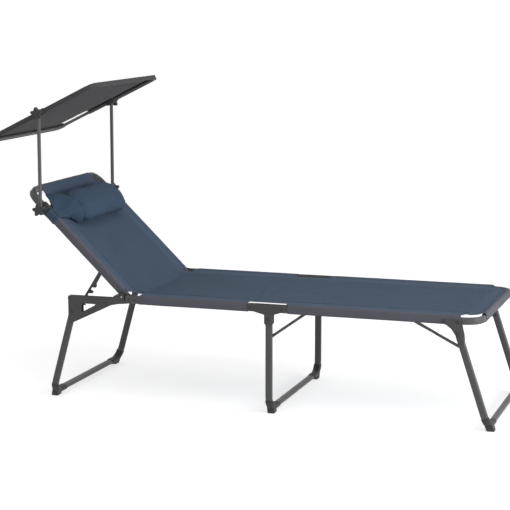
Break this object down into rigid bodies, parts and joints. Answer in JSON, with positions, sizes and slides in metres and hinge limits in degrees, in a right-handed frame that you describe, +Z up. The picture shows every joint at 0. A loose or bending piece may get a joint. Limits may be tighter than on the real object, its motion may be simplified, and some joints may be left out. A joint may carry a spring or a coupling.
{
  "type": "camping lounger with sunshade",
  "caption": "Folding camping lounger: padded fabric bed on flat-oval steel tube legs, reclining backrest with roll pillow and a tilting sunshade on side posts.",
  "frame": {"origin": "on the floor under the middle of the bounding box", "axes": "+X towards the foot end, +Y towards the left of the person lying on it, +Z up"},
  "size_m": [1.9198, 0.718, 1.1742],
  "materials": {
    "painted_steel": "satin powder coat",
    "painted_aluminium": "satin powder coat",
    "bare_steel": "zinc plated",
    "black_plastic": "fine grain",
    "padded_fabric": "woven",
    "canopy_fabric": "woven"
  },
  "bodies": {
    "seat_section": {"seat_rail_left": "painted_steel", "seat_rail_right": "painted_steel", "rear_bracket_left": "painted_steel", "rear_bracket_right": "painted_steel", "backrest_pivot_pin_left": "bare_steel", "backrest_pivot_pin_right": "bare_steel", "ratchet_pin_left": "bare_steel", "ratchet_pin_right": "bare_steel", "fold_pin_left": "bare_steel", "fold_pin_right": "bare_steel", "seat_cloth": "padded_fabric", "fold_cloth": "padded_fabric", "recline_cloth": "padded_fabric"},
    "rear_leg": {"rear_leg_frame": "painted_steel", "rear_leg_pad_left": "black_plastic", "rear_leg_pad_right": "black_plastic"},
    "foot_section": {"foot_tube": "painted_steel", "foot_cloth": "padded_fabric", "mid_bracket_left": "painted_steel", "mid_bracket_right": "painted_steel", "foot_bracket_left": "painted_steel", "foot_bracket_right": "painted_steel"},
    "mid_leg": {"mid_leg_frame": "painted_steel", "mid_leg_pad_left": "black_plastic", "mid_leg_pad_right": "black_plastic"},
    "mid_stay_upper": {"mid_stay_upper_left": "painted_steel", "mid_stay_upper_right": "painted_steel"},
    "mid_stay_lower": {"mid_stay_lower_left": "painted_steel", "mid_stay_lower_right": "painted_steel"},
    "foot_leg": {"foot_leg_frame": "painted_steel", "foot_leg_pad_left": "black_plastic", "foot_leg_pad_right": "black_plastic"},
    "foot_stay_upper": {"foot_stay_upper_left": "painted_steel", "foot_stay_upper_right": "painted_steel"},
    "foot_stay_lower": {"foot_stay_lower_left": "painted_steel", "foot_stay_lower_right": "painted_steel"},
    "backrest": {"back_tube": "painted_steel", "back_cloth": "padded_fabric", "lower_clamp_left": "black_plastic", "lower_clamp_right": "black_plastic"},
    "ratchet_struts": {"ratchet_strut_left": "painted_steel", "ratchet_strut_right": "painted_steel"},
    "head_pillow": {"pillow": "padded_fabric", "pillow_band": "padded_fabric"},
    "sunshade_posts": {"post_left": "painted_aluminium", "post_right": "painted_aluminium"},
    "canopy": {"canopy_frame": "painted_aluminium", "canopy_cloth": "canopy_fabric", "top_clamp_left": "black_plastic", "top_clamp_right": "black_plastic"},
    "lower_knob_left": {"lower_knob_left": "black_plastic"},
    "lower_knob_right": {"lower_knob_right": "black_plastic"},
    "top_knob_left": {"top_knob_left": "black_plastic"},
    "top_knob_right": {"top_knob_right": "black_plastic"}
  },
  "joints": [
    {"name": "backrest_recline", "type": "hinge", "parent": "seat_section", "child": "backrest", "pos_m": [-0.4136, 0, 0.399], "axis": [0, -1, 0], "range_deg": [0, 44], "deforming": ["recline_cloth"]},
    {"name": "ratchet_strut_swing", "type": "hinge", "parent": "backrest", "child": "ratchet_struts", "pos_m": [-0.50503, 0, 0.49146], "axis": [0, -1, 0], "range_deg": [-85.9, 0]},
    {"name": "rear_leg_fold", "type": "hinge", "parent": "seat_section", "child": "rear_leg", "pos_m": [-0.6136, 0, 0.334], "axis": [0, -1, 0], "range_deg": [0, 105]},
    {"name": "foot_section_fold", "type": "hinge", "parent": "seat_section", "child": "foot_section", "pos_m": [0.0824, 0, 0.387], "axis": [0, -1, 0], "range_deg": [0, 145], "deforming": ["fold_cloth"]},
    {"name": "mid_leg_fold", "type": "hinge", "parent": "foot_section", "child": "mid_leg", "pos_m": [0.1484, 0, 0.35], "axis": [0, -1, 0], "range_deg": [0, 78]},
    {"name": "mid_stay_upper_swing", "type": "hinge", "parent": "foot_section", "child": "mid_stay_upper", "pos_m": [0.2984, 0, 0.389], "axis": [0, -1, 0], "range_deg": [0, 54.51]},
    {"name": "mid_stay_lower_swing", "type": "hinge", "parent": "mid_leg", "child": "mid_stay_lower", "pos_m": [0.1484, 0, 0.282], "axis": [0, -1, 0], "range_deg": [-138.56, 0]},
    {"name": "foot_leg_fold", "type": "hinge", "parent": "foot_section", "child": "foot_leg", "pos_m": [0.8309, 0, 0.342], "axis": [0, -1, 0], "range_deg": [-108, 0]},
    {"name": "foot_stay_upper_swing", "type": "hinge", "parent": "foot_section", "child": "foot_stay_upper", "pos_m": [0.6544, 0, 0.384], "axis": [0, -1, 0], "range_deg": [-48.71, 0]},
    {"name": "foot_stay_lower_swing", "type": "hinge", "parent": "foot_leg", "child": "foot_stay_lower", "pos_m": [0.84984, 0, 0.28507], "axis": [0, -1, 0], "range_deg": [0, 170.39]},
    {"name": "pillow_slide", "type": "slide", "parent": "backrest", "child": "head_pillow", "axis": [0.7193, 0, -0.6947], "range_m": [0, 0.12]},
    {"name": "post_swing", "type": "hinge", "parent": "backrest", "child": "sunshade_posts", "pos_m": [-0.72736, 0, 0.70894], "axis": [0, -1, 0], "range_deg": [-40, 25]},
    {"name": "canopy_tilt", "type": "hinge", "parent": "sunshade_posts", "child": "canopy", "pos_m": [-0.72736, 0, 1.06294], "axis": [0, -1, 0], "range_deg": [-50, 40]},
    {"name": "lower_knob_left_turn", "type": "hinge", "parent": "backrest", "child": "lower_knob_left", "pos_m": [-0.72736, 0, 0.70894], "axis": [0, -1, 0], "continuous": true},
    {"name": "lower_knob_right_turn", "type": "hinge", "parent": "backrest", "child": "lower_knob_right", "pos_m": [-0.72736, 0, 0.70894], "axis": [0, -1, 0], "continuous": true},
    {"name": "top_knob_left_turn", "type": "hinge", "parent": "canopy", "child": "top_knob_left", "pos_m": [-0.72736, 0, 1.06294], "axis": [0, -1, 0], "continuous": true},
    {"name": "top_knob_right_turn", "type": "hinge", "parent": "canopy", "child": "top_knob_right", "pos_m": [-0.72736, 0, 1.06294], "axis": [0, -1, 0], "continuous": true}
  ],
  "couplings": [
    {"joint": "ratchet_strut_swing", "follows": "backrest_recline", "ratio": -1.95},
    {"joint": "mid_stay_upper_swing", "follows": "mid_leg_fold", "ratio": 0.69857},
    {"joint": "mid_stay_lower_swing", "follows": "mid_leg_fold", "ratio": -1.7761},
    {"joint": "foot_stay_upper_swing", "follows": "foot_leg_fold", "ratio": 0.4508},
    {"joint": "foot_stay_lower_swing", "follows": "foot_leg_fold", "ratio": -1.5775}
  ]
}
